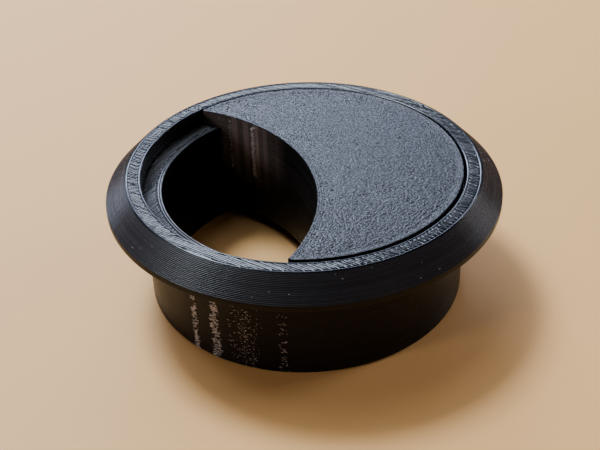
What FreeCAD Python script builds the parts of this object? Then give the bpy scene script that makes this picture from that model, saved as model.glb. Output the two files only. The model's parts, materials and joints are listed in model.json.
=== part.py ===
# Two-piece printed desk grommet: a flanged sleeve for a 60 mm hole in a desk top, and a loose
# crescent cover that lies in a recess of the flange and leaves an opening for cables.
# Millimetres, +Z up. The origin is on the sleeve's axis, at its bottom end. The cable opening
# faces -X while the cover is at rest.
import FreeCAD, Part
import math
import os

# Sleeve, which goes into the hole in the desk
desk_hole_d = 60.0
hole_clearance = 0.15
sleeve_r = desk_hole_d / 2 - hole_clearance
sleeve_wall = 3.7
bore_r = sleeve_r - sleeve_wall
sleeve_len = 19.2
foot_chamfer = 0.3

# Flange, which hangs on the desk top: a short upright lip, a 45 degree cone and a flat ring
flange_r = 36.4
lip_h = 1.0
cone_h = 4.0
ring_r = flange_r - cone_h
total_h = sleeve_len + lip_h + cone_h

# Recess in the flange, with a ledge that carries the cover
recess_r = 29.7
recess_depth = 3.2
ledge_z = total_h - recess_depth

# Cover: a flush plate with a hollow skirt that hangs in the bore
cover_gap = 0.5
cover_r = recess_r - cover_gap
seat_gap = 0.05
cover_offset_y = 0.2
skirt_gap = 0.55
skirt_r = bore_r - skirt_gap
skirt_wall = 2.0
skirt_bottom_z = 3.0
tip_radius = 0.45

# Cable opening: one round cut from the side, a little past the axis
opening_r = 34.4
opening_past_axis = 0.64
opening_x = opening_past_axis - opening_r


def ring_point(radius, z):
    """A point of a half section in the XZ plane."""
    return FreeCAD.Vector(radius, 0, z)


def turned(points):
    """A solid of revolution about Z from the corners of its half section."""
    corners = [ring_point(radius, z) for radius, z in points]
    outline = Part.makePolygon(corners + corners[:1])
    return Part.Face(outline).revolve(FreeCAD.Vector(0, 0, 0), FreeCAD.Vector(0, 0, 1), 360)


def disc(radius, low_z, high_z, x=0.0, y=0.0):
    """An upright cylinder between two heights."""
    return Part.makeCylinder(radius, high_z - low_z, FreeCAD.Vector(x, y, low_z))


def upright_edges_at(shape, low_r):
    """The upright straight edges of a shape that stand further out than a radius."""
    found = []
    for edge in shape.Edges:
        first, last = edge.Vertexes[0].Point, edge.Vertexes[-1].Point
        upright = math.hypot(first.x - last.x, first.y - last.y) < 1e-6
        if upright and abs(first.z - last.z) > 1e-6 and math.hypot(first.x, first.y) > low_r:
            found.append(edge)
    return found


def grommet_body():
    """Sleeve and flange, printed in one piece."""
    return turned([
        (bore_r, 0),
        (sleeve_r - foot_chamfer, 0),
        (sleeve_r, foot_chamfer),
        (sleeve_r, sleeve_len),
        (flange_r, sleeve_len),
        (flange_r, sleeve_len + lip_h),
        (ring_r, total_h),
        (recess_r, total_h),
        (recess_r, ledge_z),
        (bore_r, ledge_z),
    ])


def cover_plate():
    """The flush crescent plate, with blunted tips."""
    low_z = ledge_z + seat_gap
    plate = disc(cover_r, low_z, total_h).cut(disc(opening_r, low_z, total_h, opening_x))
    return plate.makeFillet(tip_radius, upright_edges_at(plate, cover_r - tip_radius))


def cover_skirt():
    """The hollow crescent skirt under the plate, open at its lower end."""
    top_z = ledge_z + seat_gap
    outside = disc(skirt_r, skirt_bottom_z, top_z)
    outside = outside.cut(disc(opening_r, skirt_bottom_z, top_z, opening_x))
    hollow = disc(skirt_r - skirt_wall, skirt_bottom_z, top_z)
    hollow = hollow.cut(disc(opening_r + skirt_wall, skirt_bottom_z, top_z, opening_x))
    return outside.cut(hollow)


def crescent_cover():
    """Plate and skirt, printed in one piece. It is loose and lies towards +Y in its recess."""
    cover = cover_plate().fuse(cover_skirt()).removeSplitter()
    cover.translate(FreeCAD.Vector(0, cover_offset_y, 0))
    return cover


def write_node(name, shape):
    """Write one piece, after a test that it is one valid solid."""
    solids = shape.Solids
    if len(solids) != 1 or not solids[0].isValid():
        raise RuntimeError(name + " is not one valid solid")
    solids[0].exportStep(os.path.join("parts", name + ".step"))
    print(name, "volume", round(solids[0].Volume), "mm3")


os.makedirs("parts", exist_ok=True)
write_node("grommet_body", grommet_body())
write_node("crescent_cover", crescent_cover())
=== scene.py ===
import json
import math
import bpy
import numpy as np
from mathutils import Matrix, Vector, noise


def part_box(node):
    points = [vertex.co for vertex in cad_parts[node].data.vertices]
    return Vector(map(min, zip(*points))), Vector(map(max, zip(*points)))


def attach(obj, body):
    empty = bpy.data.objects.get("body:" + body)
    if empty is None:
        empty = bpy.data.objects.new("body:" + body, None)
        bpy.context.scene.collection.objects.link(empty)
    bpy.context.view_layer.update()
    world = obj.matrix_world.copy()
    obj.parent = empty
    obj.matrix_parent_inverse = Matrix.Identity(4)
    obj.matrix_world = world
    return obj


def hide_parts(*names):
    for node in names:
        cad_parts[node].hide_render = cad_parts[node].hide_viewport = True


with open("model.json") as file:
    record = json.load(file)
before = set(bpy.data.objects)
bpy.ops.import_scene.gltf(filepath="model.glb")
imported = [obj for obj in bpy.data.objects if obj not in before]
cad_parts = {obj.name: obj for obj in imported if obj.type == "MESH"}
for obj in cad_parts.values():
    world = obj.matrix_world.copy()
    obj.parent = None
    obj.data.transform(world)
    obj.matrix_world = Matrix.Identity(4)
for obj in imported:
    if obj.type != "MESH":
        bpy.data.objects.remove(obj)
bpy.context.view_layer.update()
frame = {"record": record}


# ---- Grommet body -------------------------------------------------------------------------------
# The sleeve and its flange are one print, laid down in 0.2 mm layers from the sleeve's lower end
# up. Every wall shows its layers as rounded ridges, and the cone is a stair of 20 of them.
MM = 0.001
LAYER = 0.2 * MM
mounts = {mount["name"]: mount for mount in frame["record"]["mounts"]}
_, body_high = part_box("grommet_body")
flange_r = body_high.x
top_z = body_high.z
sleeve_r = mounts["desk_hole_sleeve"]["dims"]["r_mm"] * MM
sleeve_top_z = mounts["flange_seat"]["pos_m"][2]
lip_top_z = sleeve_top_z + 5 * LAYER
ring_r = flange_r - (top_z - lip_top_z)
recess_r = 29.7 * MM
ledge_z = 21.0 * MM
bore_r = 26.15 * MM
foot_chamfer = 0.3 * MM
groove = 0.035 * MM
strand_rise = 0.10 * MM
ledge_rise = 0.11 * MM
seam_turn = math.radians(28)
seam_height = 0.05 * MM
seam_width = 0.25 * MM
wave_height = 0.0035 * MM


def wall_rows(radius, low_z, high_z, inward=False):
    """Half-section rows up an upright wall: a groove under each layer and a crest at its middle."""
    sign = 1 if inward else -1
    rows = []
    for i in range(round((high_z - low_z) / LAYER)):
        z = low_z + i * LAYER
        rows.append((radius + sign * groove, z, True))
        rows.append((radius, z + 0.5 * LAYER, False))
    return rows


def cone_rows(low_r, low_z, high_z):
    """Half-section rows up the cone: each layer is one step, deep at its foot and on its tread."""
    rows = []
    for i in range(round((high_z - low_z) / LAYER)):
        radius = low_r - i * LAYER
        z = low_z + i * LAYER
        rows.append((radius - 1.6 * groove, z, True))
        rows.append((radius, z + 0.30 * LAYER, False))
        rows.append((radius - 2.0 * groove, z + 0.88 * LAYER, False))
    return rows


def body_half_section():
    """The closed half section, from the bore's lower end outwards and back down the bore."""
    ring_z = top_z - 1.95 * strand_rise
    shelf_z = ledge_z - 1.8 * ledge_rise
    rows = [(bore_r + foot_chamfer, 0.0, True), (sleeve_r - foot_chamfer, 0.0, True)]
    rows += wall_rows(sleeve_r, foot_chamfer, sleeve_top_z)
    rows += [(sleeve_r - groove, sleeve_top_z, True), (flange_r - 2 * groove, sleeve_top_z, True)]
    rows += wall_rows(flange_r, sleeve_top_z, lip_top_z)[1:]
    rows += cone_rows(flange_r, lip_top_z, top_z)[:-1]
    rows += [(ring_r, ring_z, True), (recess_r + groove, ring_z, True)]
    rows += wall_rows(recess_r, shelf_z, ring_z, inward=True)[::-1]
    rows += [(bore_r + groove, shelf_z, True)]
    rows += wall_rows(bore_r, foot_chamfer, shelf_z, inward=True)[::-1]
    return rows


def wobble(radius, turn, z, phase):
    """A printed wall's small waves, which drift with height, and the ridge where its layers start."""
    wave = math.sin(23 * turn + 40 * z + phase) + 0.7 * math.sin(41 * turn - 90 * z)
    from_seam = (turn - seam_turn) * radius
    return wave_height * wave + seam_height * math.exp(-(from_seam / seam_width) ** 2)


def mesh_object(name, points, faces, sharp_edges=(), smooth=True):
    """A mesh object at the origin, with faces that point outwards."""
    mesh = bpy.data.meshes.new(name)
    mesh.from_pydata(points, [], faces)
    mesh.update()
    corners = np.empty(len(mesh.vertices) * 3)
    mesh.vertices.foreach_get("co", corners)
    corners = corners.reshape(-1, 3)
    mesh.calc_loop_triangles()
    triangles = np.empty(len(mesh.loop_triangles) * 3, dtype=np.int32)
    mesh.loop_triangles.foreach_get("vertices", triangles)
    a, b, c = (corners[triangles.reshape(-1, 3)[:, k]] for k in range(3))
    volume = np.einsum("ij,ij->i", a, np.cross(b, c)).sum()
    if volume < 0:
        mesh.flip_normals()
    mesh.polygons.foreach_set("use_smooth", [smooth] * len(mesh.polygons))
    if len(sharp_edges):
        wanted = {tuple(sorted(edge)) for edge in sharp_edges}
        marks = [tuple(sorted(edge.vertices)) in wanted for edge in mesh.edges]
        mesh.attributes.new("sharp_edge", "BOOLEAN", "EDGE").data.foreach_set("value", marks)
    made = bpy.data.objects.new(name, mesh)
    bpy.context.scene.collection.objects.link(made)
    return made


def lathe(name, rows, turns):
    """A closed solid of revolution, each row of which is set in by its own small random depth."""
    rng = np.random.default_rng(7)
    points, faces, sharp = [], [], []
    count = len(turns)
    for j, (radius, z, _) in enumerate(rows):
        set_in = abs(rng.normal(0.020, 0.0025)) * MM
        for turn in turns:
            r = radius - set_in + wobble(radius, turn, z, 0.3 * j)
            points.append((r * math.cos(turn), r * math.sin(turn), z))
    for j in range(len(rows)):
        below, above = j * count, ((j + 1) % len(rows)) * count
        for k in range(count):
            n = (k + 1) % count
            faces.append((below + k, below + n, above + n, above + k))
            if rows[j][2]:
                sharp.append((below + k, below + n))
    return mesh_object(name, points, faces, sharp)


# Points every 2 degrees round the axis, and four more beside the seam
body_turns = sorted(
    [math.radians(2 * k) for k in range(180)]
    + [seam_turn + math.radians(step) for step in (-0.9, -0.5, 0.5, 0.9)]
)
grommet_print = lathe("grommet_print", body_half_section(), body_turns)


def add_node(tree, kind, inputs=None, **settings):
    """One node of a tree. Inputs hold values, or sockets to link, under a name or a number."""
    made = tree.nodes.new(kind)
    for name, value in settings.items():
        setattr(made, name, value)
    for key, value in (inputs or {}).items():
        if isinstance(value, bpy.types.NodeSocket):
            tree.links.new(value, made.inputs[key])
        else:
            made.inputs[key].default_value = value
    return made


def maths(tree, operation, a, b=0.0, clamp=False):
    """The result of one Math node."""
    return add_node(tree, "ShaderNodeMath", {0: a, 1: b}, operation=operation, use_clamp=clamp).outputs[0]


def shader_group(name, inputs, outputs):
    """An empty shader node group with named inputs and outputs. Returns tree, inputs and outputs."""
    tree = bpy.data.node_groups.new(name, "ShaderNodeTree")
    for label, kind, value in inputs:
        tree.interface.new_socket(label, in_out="INPUT", socket_type=kind).default_value = value
    for label, kind in outputs:
        tree.interface.new_socket(label, in_out="OUTPUT", socket_type=kind)
    return tree, tree.nodes.new("NodeGroupInput").outputs, tree.nodes.new("NodeGroupOutput").inputs


def ramp(tree, value, start, stop, top=1.0):
    """A rise from 0 to top while a value runs from start to stop, up or down."""
    limits = {"Value": value, "From Min": start, "From Max": stop, "To Max": top}
    return add_node(tree, "ShaderNodeMapRange", limits).outputs[0]


def wall_marks_group():
    """Marks of a printed wall: a tone for each layer, the upper part of each layer for a painted highlight,
    upright bands of shine for the bump, and upright stripes for painted highlight bands.
    """
    tree, given, out = shader_group(
        "wall_marks",
        [("Layer", "NodeSocketFloat", LAYER), ("Bands", "NodeSocketFloat", 30.0)],
        [("Layer Tone", "NodeSocketFloat"), ("Band", "NodeSocketFloat"), ("Fine", "NodeSocketFloat"),
         ("Painted Highlight Band", "NodeSocketFloat"), ("Crest", "NodeSocketFloat")],
    )
    place = add_node(tree, "ShaderNodeTexCoord").outputs["Object"]
    axes = add_node(tree, "ShaderNodeSeparateXYZ", {0: place})
    height_in_layers = maths(tree, "DIVIDE", axes.outputs["Z"], given["Layer"])
    layer = maths(tree, "FLOOR", height_in_layers)
    crest = ramp(tree, maths(tree, "FRACT", height_in_layers), 0.3, 0.6)
    tree.links.new(crest, out["Crest"])
    tone = add_node(tree, "ShaderNodeTexWhiteNoise", {"W": layer}, noise_dimensions="1D")
    tree.links.new(tone.outputs["Value"], out["Layer Tone"])
    flat = add_node(tree, "ShaderNodeCombineXYZ", {"X": axes.outputs["X"], "Y": axes.outputs["Y"]})
    unit = add_node(tree, "ShaderNodeVectorMath", {0: flat.outputs[0]}, operation="NORMALIZE")
    round_axes = add_node(tree, "ShaderNodeSeparateXYZ", {0: unit.outputs[0]})
    spot = add_node(tree, "ShaderNodeCombineXYZ", {
        "X": maths(tree, "MULTIPLY", round_axes.outputs["X"], given["Bands"]),
        "Y": maths(tree, "MULTIPLY", round_axes.outputs["Y"], given["Bands"]),
        "Z": maths(tree, "MULTIPLY", axes.outputs["Z"], 60.0),
    })
    band = add_node(tree, "ShaderNodeTexNoise", {"Vector": spot.outputs[0], "Scale": 1.0, "Detail": 2.0})
    tree.links.new(band.outputs["Fac"], out["Band"])
    speck = add_node(tree, "ShaderNodeCombineXYZ", {
        "X": maths(tree, "MULTIPLY", round_axes.outputs["X"], 220.0),
        "Y": maths(tree, "MULTIPLY", round_axes.outputs["Y"], 220.0),
        "Z": maths(tree, "MULTIPLY", axes.outputs["Z"], 5000.0),
    })
    fine = add_node(tree, "ShaderNodeTexNoise", {"Vector": speck.outputs[0], "Scale": 1.0, "Detail": 3.0})
    tree.links.new(fine.outputs["Fac"], out["Fine"])
    # Upright stripes of random tone, only used to paint highlight bands on the notch's wall.
    strip = maths(tree, "FLOOR", maths(tree, "MULTIPLY", axes.outputs["Y"], 900.0))
    strip_tone = add_node(tree, "ShaderNodeTexWhiteNoise", {"W": strip}, noise_dimensions="1D")
    tree.links.new(maths(tree, "POWER", strip_tone.outputs["Value"], 3.0), out["Painted Highlight Band"])
    return tree


def spread(tree, value, low, high):
    """A value from 0 to 1 turned into one from low to high."""
    return add_node(tree, "ShaderNodeMapRange", {"Value": value, "To Min": low, "To Max": high}).outputs[0]


def mixed_colour(tree, factor, dark, light):
    """A colour from dark to light, by a factor from 0 to 1."""
    mix = add_node(tree, "ShaderNodeMix", {0: factor, 6: dark, 7: light}, data_type="RGBA")
    return mix.outputs[2]


def new_material(name, **constants):
    """A material with one Principled shader, whose constant values are given by socket name."""
    made = bpy.data.materials.new(name)
    made.use_nodes = True
    shader = made.node_tree.nodes["Principled BSDF"]
    for label, value in constants.items():
        shader.inputs[label.replace("_", " ")].default_value = value
    return made, made.node_tree, shader


wall_marks = wall_marks_group()


def wall_plastic(name, dark, light, smooth, rough, shine, tone_share=1.0, painted_highlight_bands=0.0, crests=0.0):
    """Black plastic as it leaves the nozzle in a wall, from shiny crests to duller bands.

    Its colour can carry painted light: pale upright bands on the +Y end of the notch's wall, a painted lit
    area with painted highlights that fades out towards its middle and foot, and a lighter upper part of
    each layer, a painted highlight.
    """
    made, tree, shader = new_material(name, IOR=1.47, Specular_IOR_Level=shine)
    marks = add_node(tree, "ShaderNodeGroup", node_tree=wall_marks)
    mixed = maths(tree, "MULTIPLY", marks.outputs["Layer Tone"], marks.outputs["Fine"])
    place = add_node(tree, "ShaderNodeTexCoord").outputs["Object"]
    axes = add_node(tree, "ShaderNodeSeparateXYZ", {0: place})
    # Painted light: pale upright bands high on the +Y end of the notch's wall, fading towards its middle
    # and foot, stand in for the wall lit above a shadow edge and its highlights.
    at_end = ramp(tree, axes.outputs["Y"], 9 * MM, 17 * MM, painted_highlight_bands)
    high = ramp(tree, axes.outputs["Z"], 9 * MM, 17 * MM)
    on_notch = ramp(tree, axes.outputs["X"], 3 * MM, 0.0)
    band_tone = maths(tree, "ADD", maths(tree, "MULTIPLY", marks.outputs["Painted Highlight Band"], 0.5), 0.25)
    where = maths(tree, "MULTIPLY", maths(tree, "MULTIPLY", at_end, high), on_notch)
    painted_band_share = maths(tree, "MULTIPLY", band_tone, where)
    tone_with_painted_bands = maths(tree, "ADD", maths(tree, "MULTIPLY", mixed, tone_share), painted_band_share, clamp=True)
    # Painted highlight: the upper part of each layer is made lighter.
    painted_crest_tone = maths(tree, "MULTIPLY", marks.outputs["Crest"], maths(tree, "ADD", mixed, 0.75))
    tone = add_node(tree, "ShaderNodeMix", {0: crests, 2: tone_with_painted_bands, 3: painted_crest_tone}).outputs[0]
    tree.links.new(mixed_colour(tree, tone, dark, light), shader.inputs["Base Color"])
    dullness = add_node(tree, "ShaderNodeMix", {
        0: 0.25, 2: marks.outputs["Fine"], 3: marks.outputs["Layer Tone"]}).outputs[0]
    tree.links.new(spread(tree, dullness, smooth, rough), shader.inputs["Roughness"])
    height = maths(tree, "ADD", marks.outputs["Band"], maths(tree, "MULTIPLY", marks.outputs["Fine"], 0.05))
    bump = add_node(tree, "ShaderNodeBump", {"Strength": 0.8, "Distance": 0.05 * MM, "Height": height})
    tree.links.new(bump.outputs[0], shader.inputs["Normal"])
    return made


body_plastic = wall_plastic(
    "body_plastic", dark=(0.002, 0.002, 0.003, 1), light=(0.009, 0.008, 0.009, 1),
    smooth=0.12, rough=0.36, shine=0.13)
# The cone's colour has a painted highlight: the upper part of each layer is lighter.
cone_plastic = wall_plastic(
    "cone_plastic", dark=(0.001, 0.001, 0.001, 1), light=(0.019, 0.019, 0.025, 1),
    smooth=0.10, rough=0.36, shine=0.22, crests=1.0)
grommet_print.data.materials.append(body_plastic)
grommet_print.data.materials.append(cone_plastic)
on_cone = [lip_top_z < face.center.z < top_z - LAYER and face.center.xy.length > ring_r - LAYER
           for face in grommet_print.data.polygons]
grommet_print.data.polygons.foreach_set("material_index", [int(cone) for cone in on_cone])
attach(grommet_print, "grommet")
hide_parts("grommet_body")


# ---- Strands of the flat faces --------------------------------------------------------------------
# The last layer of the flange's ring and of the ledge is a raster of parallel strands beside smooth
# border strands. Each is a flattened bead of plastic. The two rasters cross at right angles.
STRAND = 0.42 * MM
ring_direction = math.radians(-51.5)
ledge_direction = math.radians(38.5)
strand_lean = math.radians(36)


def geometry_tree(name, inputs):
    """An empty geometry tree that puts out a mesh. Returns tree, inputs and the output node."""
    tree = bpy.data.node_groups.new(name, "GeometryNodeTree")
    tree.interface.new_socket("Geometry", in_out="OUTPUT", socket_type="NodeSocketGeometry")
    for label, kind, value in inputs:
        socket = tree.interface.new_socket(label, in_out="INPUT", socket_type=kind)
        if value is not None:
            socket.default_value = value
    return tree, tree.nodes.new("NodeGroupInput").outputs, tree.nodes.new("NodeGroupOutput")


def bead_on_curve(tree, curve, width, rise, material, taper):
    """Flattened beads along curves, with rounded ends and an uneven height, as the tree's output."""
    spline = add_node(tree, "GeometryNodeSplineParameter")
    length = add_node(tree, "GeometryNodeSplineLength").outputs["Length"]
    from_end = maths(tree, "MINIMUM", spline.outputs["Length"],
                     maths(tree, "SUBTRACT", length, spline.outputs["Length"]))
    near = maths(tree, "DIVIDE", from_end, taper, clamp=True)
    end_size = maths(tree, "ADD", maths(tree, "MULTIPLY", maths(tree, "POWER", near, 0.5), 0.45), 0.55)
    uneven = add_node(tree, "ShaderNodeTexNoise", {"Scale": 1300.0, "Detail": 1.0}).outputs["Fac"]
    swell = maths(tree, "ADD", maths(tree, "MULTIPLY", uneven, 0.55), 0.66)
    size = maths(tree, "MULTIPLY", end_size, swell)
    circle = add_node(tree, "GeometryNodeCurvePrimitiveCircle", {"Resolution": 8, "Radius": 1.0})
    half_width = maths(tree, "MULTIPLY", width, 0.5)
    shape = add_node(tree, "ShaderNodeCombineXYZ", {"X": half_width, "Y": rise, "Z": 1.0})
    profile = add_node(tree, "GeometryNodeTransform", {
        "Geometry": circle.outputs[0], "Scale": shape.outputs[0]})
    tone = add_node(tree, "GeometryNodeInputNamedAttribute", {"Name": "strand_tone"}, data_type="FLOAT")
    lean = maths(tree, "MULTIPLY", maths(tree, "SUBTRACT", tone.outputs[0], 0.5), strand_lean)
    leant = add_node(tree, "GeometryNodeSetCurveTilt", {"Curve": curve, "Tilt": lean})
    swept = add_node(tree, "GeometryNodeCurveToMesh", {
        "Curve": leant.outputs[0], "Profile Curve": profile.outputs[0], "Scale": size, "Fill Caps": True})
    smooth = add_node(tree, "GeometryNodeSetShadeSmooth", {"Geometry": swept.outputs[0]})
    real = add_node(tree, "GeometryNodeRealizeInstances", {"Geometry": smooth.outputs[0]})
    painted = add_node(tree, "GeometryNodeSetMaterial", {"Geometry": real.outputs[0], "Material": material})
    return painted.outputs[0]


def raster_tree():
    """Parallel strands that fill a flat ring, each with its own small rise, slant and tone.

    Every row has two strands, one on each side of the ring's hole. Where a row passes the hole by,
    its first strand runs the whole way across and its second has no length and is deleted. The ends
    bend towards the next row, as the nozzle turns there.
    """
    tree, given, out = geometry_tree("strand_raster", [
        ("Inner Radius", "NodeSocketFloat", recess_r),
        ("Outer Radius", "NodeSocketFloat", ring_r),
        ("Height", "NodeSocketFloat", top_z),
        ("Direction", "NodeSocketFloat", 0.0),
        ("Pitch", "NodeSocketFloat", STRAND),
        ("Strand Width", "NodeSocketFloat", STRAND),
        ("Strand Rise", "NodeSocketFloat", strand_rise),
        ("Seed", "NodeSocketInt", 1),
        ("Material", "NodeSocketMaterial", None),
    ])
    index = add_node(tree, "GeometryNodeInputIndex").outputs[0]
    side = maths(tree, "MODULO", index, 2.0)
    row = maths(tree, "FLOOR", maths(tree, "DIVIDE", index, 2.0))
    half_rows = maths(tree, "FLOOR", maths(tree, "DIVIDE", given["Outer Radius"], given["Pitch"]))
    jitter = add_node(tree, "FunctionNodeRandomValue", {2: -0.06, 3: 0.06, "Seed": given["Seed"]})
    place = maths(tree, "ADD", maths(tree, "SUBTRACT", row, half_rows), jitter.outputs[1])
    across = maths(tree, "MULTIPLY", place, given["Pitch"])
    square = maths(tree, "MULTIPLY", across, across)

    def half_chord(radius):
        left = maths(tree, "SUBTRACT", maths(tree, "MULTIPLY", radius, radius), square)
        return maths(tree, "SQRT", maths(tree, "MAXIMUM", left, 0.0))

    outer = half_chord(given["Outer Radius"])
    inner = half_chord(given["Inner Radius"])
    past_hole = maths(tree, "LESS_THAN", inner, 0.5 * STRAND)
    by_hole = maths(tree, "SUBTRACT", 1.0, past_hole)
    first = maths(tree, "LESS_THAN", side, 0.5)
    inner_start = maths(tree, "SUBTRACT", maths(tree, "MULTIPLY", inner, by_hole),
                        maths(tree, "MULTIPLY", outer, past_hole))
    start = add_node(tree, "GeometryNodeSwitch", {
        "Switch": first, "True": inner_start, "False": maths(tree, "MULTIPLY", outer, -1.0)},
        input_type="FLOAT").outputs[0]
    first_length = maths(tree, "SUBTRACT", outer, inner_start)
    second_length = maths(tree, "MULTIPLY", maths(tree, "SUBTRACT", outer, inner), by_hole)
    length = add_node(tree, "GeometryNodeSwitch", {
        "Switch": first, "True": first_length, "False": second_length}, input_type="FLOAT").outputs[0]
    parity = maths(tree, "SUBTRACT", maths(tree, "MULTIPLY", maths(tree, "MODULO", row, 2.0), 2.0), 1.0)
    side_sign = maths(tree, "SUBTRACT", maths(tree, "MULTIPLY", side, 2.0), 1.0)
    turn_side = maths(tree, "MULTIPLY", parity, side_sign)
    lift = add_node(tree, "FunctionNodeRandomValue", {
        2: -0.35, 3: 0.35, "Seed": maths(tree, "ADD", given["Seed"], 5.0)}).outputs[1]
    height = maths(tree, "ADD", given["Height"], maths(tree, "MULTIPLY", lift, given["Strand Rise"]))
    position = add_node(tree, "ShaderNodeCombineXYZ", {"X": start, "Y": across, "Z": height})
    count = maths(tree, "ADD", maths(tree, "MULTIPLY", half_rows, 4.0), 2.0)
    points = add_node(tree, "GeometryNodePoints", {"Count": count, "Position": position.outputs[0]})
    line = add_node(tree, "GeometryNodeCurvePrimitiveLine", {"Start": (0, 0, 0), "End": (1, 0, 0)})
    sided = add_node(tree, "GeometryNodeStoreNamedAttribute", {
        "Geometry": points.outputs[0], "Name": "turn_side", "Value": turn_side})
    measured = add_node(tree, "GeometryNodeStoreNamedAttribute", {
        "Geometry": sided.outputs[0], "Name": "strand_length", "Value": length})
    stored = add_node(tree, "GeometryNodeInputNamedAttribute", {"Name": "strand_length"}, data_type="FLOAT")
    long_enough = add_node(tree, "GeometryNodeDeleteGeometry", {
        "Geometry": measured.outputs[0],
        "Selection": maths(tree, "LESS_THAN", stored.outputs[0], 0.7 * STRAND)})
    scale = add_node(tree, "ShaderNodeCombineXYZ", {"X": stored.outputs[0], "Y": 1.0, "Z": 1.0})
    placed = add_node(tree, "GeometryNodeInstanceOnPoints", {
        "Points": long_enough.outputs[0], "Instance": line.outputs[0], "Scale": scale.outputs[0]})
    tone = add_node(tree, "FunctionNodeRandomValue", {"Seed": maths(tree, "ADD", given["Seed"], 9.0)})
    toned = add_node(tree, "GeometryNodeStoreNamedAttribute", {
        "Geometry": placed.outputs[0], "Name": "strand_tone", "Value": tone.outputs[1]},
        domain="INSTANCE")
    real = add_node(tree, "GeometryNodeRealizeInstances", {"Geometry": toned.outputs[0]})
    cut = add_node(tree, "GeometryNodeResampleCurve", {"Curve": real.outputs[0], "Length": 0.26 * MM},
                   mode="LENGTH")
    spline = add_node(tree, "GeometryNodeSplineParameter")
    whole = add_node(tree, "GeometryNodeSplineLength").outputs["Length"]
    reach = 0.55 * MM
    bends = []
    for distance in (spline.outputs["Length"], maths(tree, "SUBTRACT", whole, spline.outputs["Length"])):
        near = maths(tree, "SUBTRACT", 1.0, maths(tree, "DIVIDE", distance, reach), clamp=True)
        bends.append(maths(tree, "POWER", near, 2.0))
    bend_side = add_node(tree, "GeometryNodeInputNamedAttribute", {"Name": "turn_side"}, data_type="FLOAT")
    swing = maths(tree, "MULTIPLY", maths(tree, "SUBTRACT", bends[0], bends[1]), bend_side.outputs[0])
    sway = add_node(tree, "ShaderNodeTexNoise", {"Scale": 500.0, "Detail": 1.0}).outputs["Fac"]
    sideways = maths(tree, "ADD", maths(tree, "MULTIPLY", swing, 0.45),
                     maths(tree, "MULTIPLY", maths(tree, "SUBTRACT", sway, 0.5), 0.3))
    shift = add_node(tree, "ShaderNodeCombineXYZ", {"Y": maths(tree, "MULTIPLY", sideways, given["Pitch"])})
    bent = add_node(tree, "GeometryNodeSetPosition", {
        "Geometry": cut.outputs[0], "Offset": shift.outputs[0]})
    turned = add_node(tree, "GeometryNodeTransform", {
        "Geometry": bent.outputs[0],
        "Rotation": add_node(tree, "ShaderNodeCombineXYZ", {"Z": given["Direction"]}).outputs[0]})
    mesh = bead_on_curve(tree, turned.outputs[0], given["Strand Width"], given["Strand Rise"],
                         given["Material"], 0.2 * MM)
    tree.links.new(mesh, out.inputs[0])
    return tree


def border_tree():
    """Round border strands, side by side, with an even shine."""
    tree, given, out = geometry_tree("border_strands", [
        ("First Radius", "NodeSocketFloat", recess_r),
        ("Step", "NodeSocketFloat", STRAND),
        ("Count", "NodeSocketInt", 1),
        ("Height", "NodeSocketFloat", top_z),
        ("Strand Width", "NodeSocketFloat", STRAND),
        ("Strand Rise", "NodeSocketFloat", strand_rise),
        ("Material", "NodeSocketMaterial", None),
    ])
    spot = add_node(tree, "ShaderNodeCombineXYZ", {"Z": given["Height"]})
    points = add_node(tree, "GeometryNodePoints", {"Count": given["Count"], "Position": spot.outputs[0]})
    index = add_node(tree, "GeometryNodeInputIndex").outputs[0]
    radius = maths(tree, "ADD", given["First Radius"], maths(tree, "MULTIPLY", index, given["Step"]))
    circle = add_node(tree, "GeometryNodeCurvePrimitiveCircle", {"Resolution": 300, "Radius": 1.0})
    scale = add_node(tree, "ShaderNodeCombineXYZ", {"X": radius, "Y": radius, "Z": 1.0})
    placed = add_node(tree, "GeometryNodeInstanceOnPoints", {
        "Points": points.outputs[0], "Instance": circle.outputs[0], "Scale": scale.outputs[0]})
    toned = add_node(tree, "GeometryNodeStoreNamedAttribute", {
        "Geometry": placed.outputs[0], "Name": "strand_tone", "Value": 0.2}, domain="INSTANCE")
    real = add_node(tree, "GeometryNodeRealizeInstances", {"Geometry": toned.outputs[0]})
    mesh = bead_on_curve(tree, real.outputs[0], given["Strand Width"], given["Strand Rise"],
                         given["Material"], 0.001 * MM)
    tree.links.new(mesh, out.inputs[0])
    return tree


def grown(name, tree, **values):
    """A plain mesh object from a geometry tree with these values in its named inputs."""
    seed = bpy.data.objects.new(name, bpy.data.meshes.new(name))
    bpy.context.scene.collection.objects.link(seed)
    modifier = seed.modifiers.new("grow", "NODES")
    modifier.node_group = tree
    names = {item.name: item.identifier for item in tree.interface.items_tree if item.in_out == "INPUT"}
    for label, value in values.items():
        modifier[names[label.replace("_", " ")]] = value
    depsgraph = bpy.context.evaluated_depsgraph_get()
    mesh = bpy.data.meshes.new_from_object(seed.evaluated_get(depsgraph), depsgraph=depsgraph)
    seed.modifiers.clear()
    seed.data = mesh
    mesh.name = name
    return seed


def joined(name, parts):
    """Several mesh objects made into one."""
    bpy.ops.object.select_all(action="DESELECT")
    for part in parts:
        part.select_set(True)
    bpy.context.view_layer.objects.active = parts[0]
    bpy.ops.object.join()
    parts[0].name = name
    parts[0].data.name = name
    return parts[0]


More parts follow.
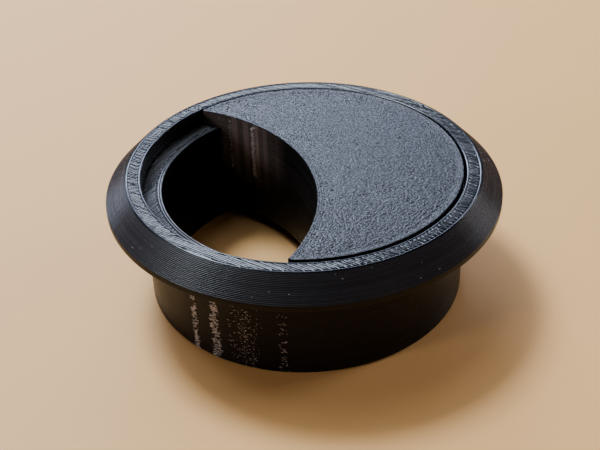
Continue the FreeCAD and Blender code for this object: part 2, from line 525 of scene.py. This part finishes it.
def strand_plastic(name, dark, light):
    """The same plastic in an open strand: glossier, and each strand with its own shine."""
    made, tree, shader = new_material(name, IOR=1.47)
    tone = add_node(tree, "ShaderNodeAttribute", attribute_name="strand_tone").outputs["Fac"]
    place = add_node(tree, "ShaderNodeTexCoord").outputs["Object"]
    grit = add_node(tree, "ShaderNodeTexNoise", {"Vector": place, "Scale": 2500.0, "Detail": 2.0})
    fine = grit.outputs["Fac"]
    mixed = maths(tree, "MULTIPLY", maths(tree, "ADD", tone, fine), 0.5)
    tree.links.new(spread(tree, mixed, 0.05, 0.22), shader.inputs["Roughness"])
    tree.links.new(mixed_colour(tree, mixed, dark, light), shader.inputs["Base Color"])
    bump = add_node(tree, "ShaderNodeBump", {"Strength": 0.5, "Distance": 0.02 * MM, "Height": fine})
    tree.links.new(bump.outputs[0], shader.inputs["Normal"])
    return made


raster = raster_tree()
border = border_tree()
open_strand = strand_plastic("open_strand", (0.006, 0.007, 0.010, 1), (0.029, 0.034, 0.048, 1))
# The ledge's strands are the same plastic as the ring's, made about four times lighter: painted light on
# the ledge.
ledge_strand_painted_light = strand_plastic("ledge_strand_painted_light", (0.02, 0.02, 0.022, 1), (0.11, 0.115, 0.125, 1))
ring_base_z = top_z - strand_rise * 1.75
ledge_base_z = ledge_z - ledge_rise * 1.5

ring_parts = [
    grown("ring_raster", raster, Inner_Radius=recess_r + 0.9 * STRAND, Outer_Radius=ring_r - 0.9 * STRAND,
          Height=ring_base_z, Direction=ring_direction, Strand_Width=1.06 * STRAND, Seed=3,
          Material=open_strand),
    grown("ring_edge", border, First_Radius=ring_r - 0.5 * STRAND, Count=1,
          Height=ring_base_z, Material=open_strand),
    grown("ring_rim", border, First_Radius=recess_r + 0.5 * STRAND, Count=1,
          Height=ring_base_z, Material=open_strand),
]
ring_strands = joined("ring_strands", ring_parts)
ledge_parts = [
    grown("ledge_raster", raster, Inner_Radius=bore_r + 2.3 * STRAND, Outer_Radius=recess_r - 0.5 * STRAND,
          Height=ledge_base_z, Direction=ledge_direction, Strand_Width=0.88 * STRAND,
          Strand_Rise=ledge_rise, Seed=11, Material=ledge_strand_painted_light),
    grown("ledge_edge", border, First_Radius=bore_r + 0.5 * STRAND, Count=2,
          Height=ledge_base_z, Strand_Rise=ledge_rise, Material=ledge_strand_painted_light),
]
ledge_strands = joined("ledge_strands", ledge_parts)
for laid in (ring_strands, ledge_strands):
    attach(laid, "grommet")


# ---- Blobs on the walls ---------------------------------------------------------------------------
# Where the nozzle stopped, started or strung, small flat blobs stick to the walls: in upright streaks on
# the sleeve, one above the other, and a few alone on the cone. The blobs are painted pale grey, far lighter
# than the plastic, as painted highlights: the streaks and specks of light on the walls.
def blob_tree():
    """Flat blobs on a wall of revolution, each in the middle of a layer, closest together at one turn."""
    tree, given, out = geometry_tree("wall_blobs", [
        ("Centre X", "NodeSocketFloat", 0.0),
        ("Low Radius", "NodeSocketFloat", sleeve_r),
        ("High Radius", "NodeSocketFloat", sleeve_r),
        ("Low", "NodeSocketFloat", 0.0),
        ("High", "NodeSocketFloat", sleeve_top_z),
        ("Count", "NodeSocketInt", 100),
        ("Turn", "NodeSocketFloat", 0.0),
        ("Width", "NodeSocketFloat", 0.1),
        ("Size", "NodeSocketFloat", 0.2 * MM),
        ("Seed", "NodeSocketInt", 1),
        ("Material", "NodeSocketMaterial", None),
    ])

    def chance(low, high, step):
        seed = maths(tree, "ADD", given["Seed"], step)
        return add_node(tree, "FunctionNodeRandomValue", {2: low, 3: high, "Seed": seed}).outputs[1]

    span = maths(tree, "SUBTRACT", given["High"], given["Low"])
    layers = maths(tree, "DIVIDE", span, LAYER)
    layer = maths(tree, "FLOOR", maths(tree, "MULTIPLY", chance(0.0, 1.0, 0.0), layers))
    share = maths(tree, "DIVIDE", maths(tree, "ADD", layer, 0.45), layers)
    z = maths(tree, "ADD", given["Low"], maths(tree, "MULTIPLY", share, span))
    widening = maths(tree, "SUBTRACT", given["High Radius"], given["Low Radius"])
    radius = maths(tree, "ADD", given["Low Radius"], maths(tree, "MULTIPLY", share, widening))
    two_chances = maths(tree, "ADD", chance(-0.5, 0.5, 1.0), chance(-0.5, 0.5, 2.0))
    aside = maths(tree, "MULTIPLY", two_chances, 0.5)
    turn = maths(tree, "ADD", given["Turn"], maths(tree, "MULTIPLY", aside, given["Width"]))
    out_x = maths(tree, "MULTIPLY", radius, maths(tree, "COSINE", turn))
    out_y = maths(tree, "MULTIPLY", radius, maths(tree, "SINE", turn))
    spot = add_node(tree, "ShaderNodeCombineXYZ", {
        "X": maths(tree, "ADD", given["Centre X"], out_x), "Y": out_y, "Z": z})
    points = add_node(tree, "GeometryNodePoints", {"Count": given["Count"], "Position": spot.outputs[0]})
    position = add_node(tree, "GeometryNodeInputPosition").outputs[0]
    place = add_node(tree, "ShaderNodeSeparateXYZ", {0: position})
    faced = add_node(tree, "ShaderNodeCombineXYZ", {
        "Z": maths(tree, "ARCTAN2", place.outputs["Y"], place.outputs["X"])})
    size = maths(tree, "MULTIPLY", given["Size"], chance(0.5, 1.3, 3.0))
    scale = add_node(tree, "ShaderNodeCombineXYZ", {
        "X": maths(tree, "MULTIPLY", size, 0.35), "Y": maths(tree, "MULTIPLY", size, chance(0.6, 1.8, 4.0)),
        "Z": maths(tree, "MULTIPLY", size, 0.5)})
    blob = add_node(tree, "GeometryNodeMeshIcoSphere", {"Radius": 1.0, "Subdivisions": 1})
    placed = add_node(tree, "GeometryNodeInstanceOnPoints", {
        "Points": points.outputs[0], "Instance": blob.outputs[0], "Rotation": faced.outputs[0],
        "Scale": scale.outputs[0]})
    real = add_node(tree, "GeometryNodeRealizeInstances", {"Geometry": placed.outputs[0]})
    smooth = add_node(tree, "GeometryNodeSetShadeSmooth", {"Geometry": real.outputs[0]})
    painted = add_node(tree, "GeometryNodeSetMaterial", {
        "Geometry": smooth.outputs[0], "Material": given["Material"]})
    tree.links.new(painted.outputs[0], out.inputs[0])
    return tree


blobs = blob_tree()
# Painted highlight: pale grey blobs on black plastic.
pale_blob_painted_highlight, _, _ = new_material(
    "pale_blob_painted_highlight", Base_Color=(0.40, 0.36, 0.355, 1), Roughness=0.25, IOR=1.5)
# Each streak's turn and width in degrees, how many blobs it has, and their size in millimetres
streaks = [(-150, 3.2, 260, 0.22), (-141, 4.5, 300, 0.22), (-130, 13.0, 380, 0.11), (-117, 4.0, 60, 0.14),
           (28, 1.0, 60, 0.11), (75, 9.0, 70, 0.10), (160, 6.0, 70, 0.12)]
blob_parts = [
    grown(f"streak_{k}", blobs, Low=foot_chamfer, Turn=math.radians(turn), Width=math.radians(width),
          Count=count, Size=size * MM, Seed=20 + k, Material=pale_blob_painted_highlight)
    for k, (turn, width, count, size) in enumerate(streaks)
]
speck_stand = 0.04 * MM
all_round = 4 * math.pi
# Pale specks on the cone: painted glints.
blob_parts.append(grown(
    "cone_specks", blobs, Low_Radius=flange_r - 2 * LAYER + speck_stand,
    High_Radius=ring_r + LAYER + speck_stand, Low=lip_top_z + 2 * LAYER, High=top_z - LAYER,
    Count=38, Width=all_round, Size=0.13 * MM, Seed=40, Material=pale_blob_painted_highlight))
wall_blobs = joined("wall_blobs", blob_parts)
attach(wall_blobs, "grommet")


# ---- Crescent cover, plate ------------------------------------------------------------------------
# The plate was printed face down on a rough print bed, so its face is grainy, with fine grooves
# between the border strands that follow its outline. It lies loose, flush with the flange.
cover_low, cover_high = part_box("crescent_cover")
cover_r = 29.2 * MM
cover_y = cover_high.y - cover_r
plate_low_z = ledge_z + 0.05 * MM
skirt_low_z = cover_low.z
skirt_r = 25.6 * MM
skirt_wall = 2.0 * MM
cut_r = 34.4 * MM
cut_x = 0.64 * MM - cut_r


def crossing_turns(round_r, notch_r):
    """Where the round outline meets the notch: the angle on each circle, from its middle line."""
    x = (notch_r ** 2 - round_r ** 2 - cut_x ** 2) / (-2 * cut_x)
    y = math.sqrt(round_r ** 2 - x ** 2)
    return math.atan2(y, x), math.atan2(y, x - cut_x)


def crescent_point(s, t, round_r, notch_r, tip_round=0.0):
    """A point of a crescent: s runs from tip to tip, t from the notch to the round outline."""
    round_turn, notch_turn = crossing_turns(round_r, notch_r)
    inner = Vector((cut_x + notch_r * math.cos(s * notch_turn), notch_r * math.sin(s * notch_turn)))
    outer = Vector((round_r * math.cos(s * round_turn), round_r * math.sin(s * round_turn)))
    point = inner.lerp(outer, t)
    if tip_round:
        reach = math.copysign(tip_round * math.sqrt(max(0.0, 1 - (2 * t - 1) ** 2)), s)
        along = Vector((-math.sin(s * round_turn), math.cos(s * round_turn)))
        point += along * reach
    return point


border_steps = [k * MM for k in (0, 0.12, 0.37, 0.45, 0.53, 0.82, 0.9, 0.98, 1.27, 1.35, 1.43)]
groove_lines = [0.45 * MM, 0.9 * MM, 1.35 * MM]
tip_end = 0.988
steps_along = 431
steps_across = 140
side_stride = 3
side_top_z = top_z - 0.18 * MM


def cross_places(width, inner_count):
    """Places from notch to outline: close together over the border strands, even between."""
    shrink = min(1.0, width / (2.4 * border_steps[-1]))
    near = [step * shrink / width for step in border_steps]
    middle = np.linspace(near[-1], 1 - near[-1], inner_count + 2)[1:-1]
    return near + list(middle) + [1 - step for step in near[::-1]]


def grain(x, y):
    """The height of the rough bed's print, from about -1 to 1."""
    coarse = noise.noise(Vector((x / (0.38 * MM), y / (0.38 * MM), 0.0)))
    fine = noise.noise(Vector((x / (0.27 * MM), y / (0.27 * MM), 7.0)))
    return 1.1 * coarse + 0.6 * fine


def face_height(point):
    """The plate's face at a point: grain, border grooves and slightly rounded edges."""
    from_round = cover_r - point.length
    from_notch = (point - Vector((cut_x, 0))).length - cut_r
    near = min(from_round, from_notch)
    cut = sum(math.exp(-((near - line) / (0.07 * MM)) ** 2) for line in groove_lines)
    edge = math.exp(-max(near, 0.0) / (0.10 * MM))
    rough = 0.12 + 0.88 * min(1.0, max(near, 0.0) / (1.2 * MM))
    return -(0.035 * cut + 0.06 * edge + 0.085 * rough * max(0.0, 1.2 - grain(point.x, point.y))) * MM


def plate_mesh():
    """The plate as a closed solid: a fine face, layered sides and a plain back."""
    along = np.linspace(-tip_end, tip_end, steps_along)
    points, faces, sharp = [], [], []
    for i, s in enumerate(along):
        width = (crescent_point(s, 1, cover_r, cut_r) - crescent_point(s, 0, cover_r, cut_r)).length
        tip_round = 0.3 * MM if i in (0, len(along) - 1) else 0.0
        for t in cross_places(width, steps_across):
            p = crescent_point(s, t, cover_r, cut_r, tip_round)
            points.append((p.x, p.y + cover_y, top_z + face_height(p)))
    across = steps_across + 2 * len(border_steps)
    for i in range(len(along) - 1):
        for j in range(across - 1):
            k = i * across + j
            faces.append((k, k + 1, k + across + 1, k + across))
    face_count = len(faces)
    last = (len(along) - 1) * across
    rim = [i * across for i in range(len(along))]
    rim += [last + j for j in range(1, across)]
    rim += [i * across + across - 1 for i in range(len(along) - 2, -1, -1)]
    rim += [j for j in range(across - 2, 0, -1)]
    kept = list(range(0, len(rim), side_stride))
    outline = [points[rim[k]] for k in kept]
    rows = [(z, -depth, hard) for depth, z, hard in wall_rows(0.0, plate_low_z, side_top_z)[::-1]]
    first = len(points)
    upper_z, upper_depth, _ = rows[0]
    points += [(x - n.x * upper_depth, y - n.y * upper_depth, upper_z)
               for (x, y, *_), n in zip(outline, outline_normals(outline))]
    upper = list(range(first, first + len(kept)))
    for k, start in enumerate(kept):
        n = (k + 1) % len(kept)
        stop = kept[n] if n else len(rim)
        over = [rim[m % len(rim)] for m in range(stop, start, -1)]
        faces.append((rim[start], upper[k], upper[n], *over))
    upper = add_side(points, faces, sharp, outline, upper, rows[1:])
    faces.append(tuple(upper[::-1]))
    made = mesh_object("cover_plate_print", points, faces, sharp)
    made.data.polygons.foreach_set("material_index", [int(k >= face_count) for k in range(len(faces))])
    return made


def outline_normals(outline):
    """The outward direction at each point of an outline that runs clockwise or the other way."""
    count = len(outline)
    turned_area = sum(outline[k - 1][0] * outline[k][1] - outline[k][0] * outline[k - 1][1]
                      for k in range(count))
    sign = 1 if turned_area > 0 else -1
    normals = []
    for k in range(count):
        before, after = outline[k - 1], outline[(k + 1) % count]
        step = Vector((after[0] - before[0], after[1] - before[1])).normalized()
        normals.append(Vector((step.y, -step.x)) * sign)
    return normals


def add_side(points, faces, sharp, outline, upper, rows):
    """Rows of side wall below a loop of points, each set in from the outline by its depth."""
    count = len(outline)
    normals = outline_normals(outline)
    for z, depth, hard in rows:
        first = len(points)
        for (x, y, *_), normal in zip(outline, normals):
            points.append((x - normal.x * depth, y - normal.y * depth, z))
        lower = list(range(first, first + count))
        for k in range(count):
            n = (k + 1) % count
            faces.append((upper[k], lower[k], lower[n], upper[n]))
            if hard:
                sharp.append((lower[k], lower[n]))
        upper = lower
    return upper


def face_plastic():
    """Black plastic with the grain of the rough bed: dull hollows and small shiny facets."""
    made, tree, shader = new_material("face_plastic", IOR=1.47)
    place = add_node(tree, "ShaderNodeTexCoord").outputs["Object"]
    grit = add_node(tree, "ShaderNodeTexNoise", {"Vector": place, "Scale": 3200.0, "Detail": 3.0})
    fine = grit.outputs["Fac"]
    cell = add_node(tree, "ShaderNodeTexVoronoi", {"Vector": place, "Scale": 2900.0})
    facet = add_node(tree, "ShaderNodeSeparateColor", {"Color": cell.outputs["Color"]}).outputs[0]
    mixed = maths(tree, "MULTIPLY", facet, fine)
    tree.links.new(spread(tree, mixed, 0.12, 0.40), shader.inputs["Roughness"])
    tone = mixed_colour(tree, facet, (0.001, 0.001, 0.001, 1), (0.030, 0.030, 0.038, 1))
    tree.links.new(tone, shader.inputs["Base Color"])
    height = maths(tree, "ADD", fine, maths(tree, "MULTIPLY", facet, 0.35))
    bump = add_node(tree, "ShaderNodeBump", {"Strength": 1.0, "Distance": 0.10 * MM, "Height": height})
    tree.links.new(bump.outputs[0], shader.inputs["Normal"])
    return made


# Its pale colour is used for painted light: lit bands and highlights at the far end of the notch's wall; a
# little of it is in the random layer tone.
cover_wall_plastic = wall_plastic(
    "cover_wall_plastic", dark=(0.003, 0.003, 0.003, 1), light=(0.30, 0.24, 0.23, 1),
    smooth=0.20, rough=0.40, shine=0.22, tone_share=0.08, painted_highlight_bands=1.0)
cover_plate_print = plate_mesh()
cover_plate_print.data.materials.append(face_plastic())
cover_plate_print.data.materials.append(cover_wall_plastic)
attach(cover_plate_print, "cover")
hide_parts("crescent_cover")


# ---- Crescent cover, skirt ------------------------------------------------------------------------
# The skirt is printed on the back of the plate in one piece with it: a thin wall that follows the
# notch and the bore and hangs nearly to the sleeve's lower end, hollow and open below.
skirt_overlap = 0.25 * MM


def crescent_outline(round_r, notch_r, notch_count, round_count):
    """A crescent's outline as points, first along the notch and then back round the outside."""
    inner = [crescent_point(s, 0, round_r, notch_r) for s in np.linspace(-1, 1, notch_count)]
    outer = [crescent_point(s, 1, round_r, notch_r) for s in np.linspace(1, -1, round_count)]
    return [(p.x, p.y + cover_y) for p in inner + outer[1:-1]]


def skirt_mesh():
    """The skirt as a closed solid: layered outside, smooth inside, a flat lower edge."""
    points, faces, sharp = [], [], []
    outer = crescent_outline(skirt_r, cut_r, 97, 91)
    inner = crescent_outline(skirt_r - skirt_wall, cut_r + skirt_wall, 97, 91)
    count = len(outer)
    high_z = plate_low_z + skirt_overlap
    points += [(x, y, high_z) for x, y in outer]
    start = list(range(count))
    rows = [(z, -depth, hard) for depth, z, hard in wall_rows(0.0, skirt_low_z, high_z)[::-1]]
    outer_low = add_side(points, faces, sharp, outer, start, rows)
    first = len(points)
    points += [(x, y, high_z) for x, y in inner]
    inner_high = list(range(first, first + count))
    first = len(points)
    points += [(x, y, skirt_low_z) for x, y in inner]
    inner_low = list(range(first, first + count))
    for k in range(count):
        n = (k + 1) % count
        faces.append((outer_low[k], inner_low[k], inner_low[n], outer_low[n]))
        faces.append((inner_low[k], inner_high[k], inner_high[n], inner_low[n]))
        faces.append((inner_high[k], start[k], start[n], inner_high[n]))
        sharp += [(inner_low[k], inner_low[n]), (inner_high[k], inner_high[n]), (start[k], start[n])]
    return mesh_object("cover_skirt_print", points, faces, sharp)


cover_skirt_print = skirt_mesh()
cover_skirt_print.data.materials.append(cover_wall_plastic)
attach(cover_skirt_print, "cover")


# ---- Blobs on the cover ---------------------------------------------------------------------------
# The wall of the notch has upright streaks of the same small pale blobs, on the plate's edge and the upper
# half of the skirt: painted highlight streaks. They belong to the cover and turn with it.
cover_streaks = [(31.0, 1.8, 420, 0.19), (40.5, 1.4, 120, 0.13), (44.0, 3.0, 60, 0.10),
                 (-35.0, 1.2, 60, 0.13)]
cover_blobs = joined("cover_blobs", [
    grown(f"cover_streak_{k}", blobs, Centre_X=cut_x, Low_Radius=cut_r, High_Radius=cut_r,
          Low=12 * MM, High=top_z - 4 * LAYER, Turn=math.radians(turn), Width=math.radians(width),
          Count=count, Size=size * MM, Seed=60 + k, Material=pale_blob_painted_highlight)
    for k, (turn, width, count, size) in enumerate(cover_streaks)
])
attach(cover_blobs, "cover")


# ---- Floor, light and camera ----------------------------------------------------------------------
# A plain floor. Behind the grommet, two soft lights overhead and a low row of window panes give the
# flat faces their sheen. Weaker lights at both sides and in front show the sleeve and the cone.
def plain_floor():
    """A plain pale surface under the grommet, in metres."""
    half = 1.6
    corners = [(-half, -half, 0), (half, -half, 0), (half, half, 0), (-half, half, 0)]
    floor = mesh_object("floor", corners, [(0, 1, 2, 3)], smooth=False)
    made, _, _ = new_material("floor_paint", Base_Color=(0.97, 0.51, 0.17, 1), Roughness=0.6)
    floor.data.materials.append(made)


def softbox(name, azimuth, elevation, distance, size, power, colour):
    """A rectangular area light that looks at the grommet: angles in degrees, sizes in metres."""
    light = bpy.data.lights.new(name, "AREA")
    light.shape = "RECTANGLE"
    light.size, light.size_y = size
    light.energy = power
    light.color = colour
    lamp = bpy.data.objects.new(name, light)
    turn, rise = math.radians(azimuth), math.radians(elevation)
    level = math.cos(rise)
    lamp.location = Vector((math.cos(turn) * level, math.sin(turn) * level, math.sin(rise))) * distance
    lamp.rotation_euler = lamp.location.to_track_quat("Z", "Y").to_euler()
    bpy.context.scene.collection.objects.link(lamp)


def studio_world(colour, strength, backdrop):
    """An even, dim surrounding light, seen behind the table as a plain pale backdrop."""
    world = bpy.data.worlds.new("studio")
    world.use_nodes = True
    tree = world.node_tree
    dim = tree.nodes["Background"]
    dim.inputs["Color"].default_value = colour
    dim.inputs["Strength"].default_value = strength
    pale = add_node(tree, "ShaderNodeBackground", {"Color": backdrop, "Strength": 1.0})
    seen = add_node(tree, "ShaderNodeLightPath").outputs["Is Camera Ray"]
    mix = add_node(tree, "ShaderNodeMixShader", {0: seen, 1: dim.outputs[0], 2: pale.outputs[0]})
    tree.links.new(mix.outputs[0], tree.nodes["World Output"].inputs["Surface"])
    bpy.context.scene.world = world


def place_camera():
    """A camera above the front edge of the table, looking down at the grommet.

    The way down and the slight lean to one side are in radians.
    """
    stands_at, heading = math.radians(-108.5), math.radians(71.83)
    stand_off, eye_height = 164.0 * MM, 125.5 * MM
    downward, lean = 0.6113, -0.0343
    forward = Vector((math.cos(heading) * math.cos(downward), math.sin(heading) * math.cos(downward),
                      -math.sin(downward)))
    right = Vector((math.sin(heading), -math.cos(heading), 0))
    up = right.cross(forward)
    leant_right = right * math.cos(lean) + up * math.sin(lean)
    leant_up = up * math.cos(lean) - right * math.sin(lean)
    camera = bpy.data.objects.new("camera", bpy.data.cameras.new("camera"))
    camera.data.lens = 63.06
    camera.data.clip_start = 5 * MM
    turned = Matrix((leant_right, leant_up, -forward)).transposed().to_4x4()
    eye = Vector((math.cos(stands_at) * stand_off, math.sin(stands_at) * stand_off, eye_height))
    camera.matrix_world = Matrix.Translation(eye) @ turned
    bpy.context.scene.collection.objects.link(camera)
    bpy.context.scene.camera = camera


plain_floor()
softbox("ceiling_light", 110, 59, 1.2, (0.30, 0.30), 15, (0.75, 0.87, 1.0))
softbox("ceiling_glow", 116, 64, 1.2, (0.9, 0.9), 5.5, (0.88, 0.94, 1.0))
# Each window pane's azimuth and elevation in degrees, and its power in watts
window_panes = ((52, 28, 0.6), (72, 30, 2.1), (90, 27, 2.6), (110, 24, 1.5))
for azimuth, elevation, power in window_panes:
    softbox("window", azimuth, elevation, 1.0, (0.26, 0.14), power, (0.66, 0.76, 1.0))
softbox("right_light", 5, 15, 1.0, (0.4, 0.2), 4.8, (0.92, 0.93, 1.0))
softbox("left_light", -174, 18, 1.0, (0.2, 0.2), 2.4, (1.0, 0.93, 0.94))
softbox("front_light", -60, 40, 1.0, (0.4, 0.4), 0.6, (1.0, 0.86, 0.70))
studio_world((1.0, 0.92, 0.85, 1), 0.01, (0.62, 0.58, 0.52, 1))
place_camera()
